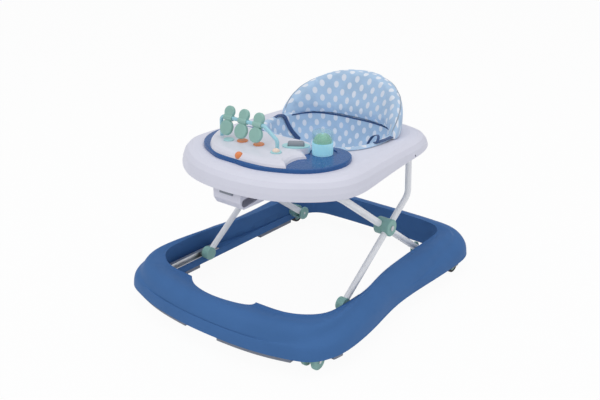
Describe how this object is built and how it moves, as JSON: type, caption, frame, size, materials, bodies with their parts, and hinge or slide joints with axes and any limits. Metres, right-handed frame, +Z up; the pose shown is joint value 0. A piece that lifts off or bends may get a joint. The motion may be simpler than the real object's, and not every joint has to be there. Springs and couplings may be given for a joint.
{
  "type": "baby walker",
  "caption": "Baby walker: rolling floor ring, folding cross frame with height slot, play tray with spinning and pressing toys, padded seat with sling.",
  "frame": {"origin": "on the floor at the centre of the floor ring's bounding box", "axes": "+X to the sitting child's left, -Y to the front where the toys are, +Z up"},
  "size_m": [0.5708, 0.707, 0.467],
  "materials": {
    "blue_shell": "satin moulded plastic",
    "tray_plastic": "satin moulded plastic",
    "console_white": "glossy moulded plastic",
    "painted_tube": "pale grey paint",
    "steel": "zinc plated",
    "mint_plastic": "satin moulded plastic",
    "grey_rubber": "matt",
    "black_tyre": "matt",
    "toy_blue": "glossy",
    "toy_aqua": "glossy",
    "toy_orange": "glossy",
    "toy_grey": "matt",
    "clear": "clear, tinted",
    "dotted_fabric": "padded, pale blue with white dots",
    "navy_webbing": "woven"
  },
  "bodies": {
    "base": {"base_shell": "blue_shell", "front_grip_strips": "grey_rubber", "side_grip_strips": "grey_rubber", "corner_grip_pads": "grey_rubber", "left_guide_rail": "steel", "right_guide_rail": "steel", "left_rear_pivot_bracket": "mint_plastic", "right_rear_pivot_bracket": "mint_plastic", "rear_pivot_pins": "steel", "left_rear_wheel_bracket": "toy_grey", "right_rear_wheel_bracket": "toy_grey", "rear_wheel_axles": "steel"},
    "rear_legs": {"rear_leg_frame": "painted_tube", "left_hub_inner": "mint_plastic", "right_hub_inner": "mint_plastic", "hub_rivets": "steel"},
    "front_legs": {"left_front_leg_tube": "painted_tube", "right_front_leg_tube": "painted_tube", "left_hub_outer": "mint_plastic", "right_hub_outer": "mint_plastic", "left_foot_fitting": "mint_plastic", "right_foot_fitting": "mint_plastic"},
    "left_slider": {"left_rail_slider": "toy_grey"},
    "right_slider": {"right_rail_slider": "toy_grey"},
    "tray": {"tray_shell": "tray_plastic", "tray_pivot_pins": "steel", "height_adjuster_housing": "tray_plastic", "toy_tray": "toy_blue", "toy_console": "console_white", "paddle_bar": "toy_aqua", "ball_pot": "toy_aqua", "clear_cylinder": "clear", "oval_dish": "toy_aqua", "front_knob": "toy_orange", "seat_back": "dotted_fabric", "seat_sling": "dotted_fabric", "seat_straps": "navy_webbing"},
    "release_button": {"height_release_button": "toy_grey"},
    "left_rear_wheel_set": {"left_rear_wheel": "mint_plastic", "left_rear_tyre": "black_tyre"},
    "right_rear_wheel_set": {"right_rear_wheel": "mint_plastic", "right_rear_tyre": "black_tyre"},
    "left_caster": {"left_caster_fork": "mint_plastic", "left_caster_axle": "steel"},
    "right_caster": {"right_caster_fork": "mint_plastic", "right_caster_axle": "steel"},
    "left_outer_caster_wheel": {"left_caster_outer_wheel": "mint_plastic"},
    "left_inner_caster_wheel": {"left_caster_inner_wheel": "mint_plastic"},
    "right_outer_caster_wheel": {"right_caster_outer_wheel": "mint_plastic"},
    "right_inner_caster_wheel": {"right_caster_inner_wheel": "mint_plastic"},
    "button_1": {"round_button_1": "toy_aqua"},
    "button_2": {"round_button_2": "toy_orange"},
    "button_3": {"round_button_3": "toy_orange"},
    "button_4": {"round_button_4": "toy_aqua"},
    "left_paddle": {"paddle_left": "toy_aqua"},
    "middle_paddle": {"paddle_middle": "toy_aqua"},
    "right_paddle": {"paddle_right": "toy_aqua"},
    "ball": {"spinning_ball": "toy_aqua"},
    "roller": {"toy_roller": "toy_grey"}
  },
  "joints": [
    {"name": "frame_fold", "type": "hinge", "parent": "base", "child": "rear_legs", "pos_m": [0, 0.2085, 0.06], "axis": [1, 0, 0], "range_deg": [0, 31]},
    {"name": "front_leg_fold", "type": "hinge", "parent": "rear_legs", "child": "front_legs", "pos_m": [0, 0.04466, 0.17934], "axis": [1, 0, 0], "range_deg": [-62, 0]},
    {"name": "tray_pivot", "type": "hinge", "parent": "front_legs", "child": "tray", "pos_m": [0, 0.11496, 0.32804], "axis": [1, 0, 0], "range_deg": [0, 36]},
    {"name": "left_slider_pivot", "type": "hinge", "parent": "front_legs", "child": "left_slider", "pos_m": [0, -0.11918, 0.06], "axis": [1, 0, 0], "range_deg": [0, 31]},
    {"name": "right_slider_pivot", "type": "hinge", "parent": "front_legs", "child": "right_slider", "pos_m": [0, -0.11918, 0.06], "axis": [1, 0, 0], "range_deg": [0, 31]},
    {"name": "release_press", "type": "slide", "parent": "tray", "child": "release_button", "axis": [0, 1, 0], "range_m": [0, 0.004], "stiffness_N_per_m": 400},
    {"name": "left_rear_wheel_spin", "type": "hinge", "parent": "base", "child": "left_rear_wheel_set", "pos_m": [0.24, 0.2615, 0.02], "axis": [1, 0, 0], "continuous": true},
    {"name": "left_caster_swivel", "type": "hinge", "parent": "base", "child": "left_caster", "pos_m": [0.234, -0.28, 0.05], "axis": [0, 0, 1], "continuous": true},
    {"name": "left_outer_caster_wheel_spin", "type": "hinge", "parent": "left_caster", "child": "left_outer_caster_wheel", "pos_m": [0.2468, -0.27, 0.018], "axis": [1, 0, 0], "continuous": true},
    {"name": "left_inner_caster_wheel_spin", "type": "hinge", "parent": "left_caster", "child": "left_inner_caster_wheel", "pos_m": [0.2212, -0.27, 0.018], "axis": [1, 0, 0], "continuous": true},
    {"name": "right_rear_wheel_spin", "type": "hinge", "parent": "base", "child": "right_rear_wheel_set", "pos_m": [-0.24, 0.2615, 0.02], "axis": [1, 0, 0], "continuous": true},
    {"name": "right_caster_swivel", "type": "hinge", "parent": "base", "child": "right_caster", "pos_m": [-0.234, -0.28, 0.05], "axis": [0, 0, 1], "continuous": true},
    {"name": "right_outer_caster_wheel_spin", "type": "hinge", "parent": "right_caster", "child": "right_outer_caster_wheel", "pos_m": [-0.2468, -0.27, 0.018], "axis": [1, 0, 0], "continuous": true},
    {"name": "right_inner_caster_wheel_spin", "type": "hinge", "parent": "right_caster", "child": "right_inner_caster_wheel", "pos_m": [-0.2212, -0.27, 0.018], "axis": [1, 0, 0], "continuous": true},
    {"name": "button_1_press", "type": "slide", "parent": "tray", "child": "button_1", "axis": [0, 0, -1], "range_m": [0, 0.002], "stiffness_N_per_m": 400},
    {"name": "button_2_press", "type": "slide", "parent": "tray", "child": "button_2", "axis": [0, 0, -1], "range_m": [0, 0.002], "stiffness_N_per_m": 400},
    {"name": "button_3_press", "type": "slide", "parent": "tray", "child": "button_3", "axis": [0, 0, -1], "range_m": [0, 0.002], "stiffness_N_per_m": 400},
    {"name": "button_4_press", "type": "slide", "parent": "tray", "child": "button_4", "axis": [0, 0, -1], "range_m": [0, 0.002], "stiffness_N_per_m": 400},
    {"name": "left_paddle_spin", "type": "hinge", "parent": "tray", "child": "left_paddle", "pos_m": [0, -0.14592, 0.419], "axis": [1, 0, 0], "continuous": true},
    {"name": "middle_paddle_spin", "type": "hinge", "parent": "tray", "child": "middle_paddle", "pos_m": [0, -0.14592, 0.419], "axis": [1, 0, 0], "continuous": true},
    {"name": "right_paddle_spin", "type": "hinge", "parent": "tray", "child": "right_paddle", "pos_m": [0, -0.14592, 0.419], "axis": [1, 0, 0], "continuous": true},
    {"name": "ball_spin", "type": "hinge", "parent": "tray", "child": "ball", "pos_m": [0.10384, -0.0737, 0.39], "axis": [0, 0, 1], "continuous": true},
    {"name": "roller_turn", "type": "hinge", "parent": "tray", "child": "roller", "pos_m": [0.05896, -0.10486, 0.37987], "axis": [0.829, 0.5592, 0], "continuous": true}
  ],
  "couplings": [
    {"joint": "front_leg_fold", "follows": "frame_fold", "ratio": -2},
    {"joint": "tray_pivot", "follows": "frame_fold", "ratio": 1.1613},
    {"joint": "left_slider_pivot", "follows": "frame_fold", "ratio": 1},
    {"joint": "right_slider_pivot", "follows": "frame_fold", "ratio": 1}
  ]
}
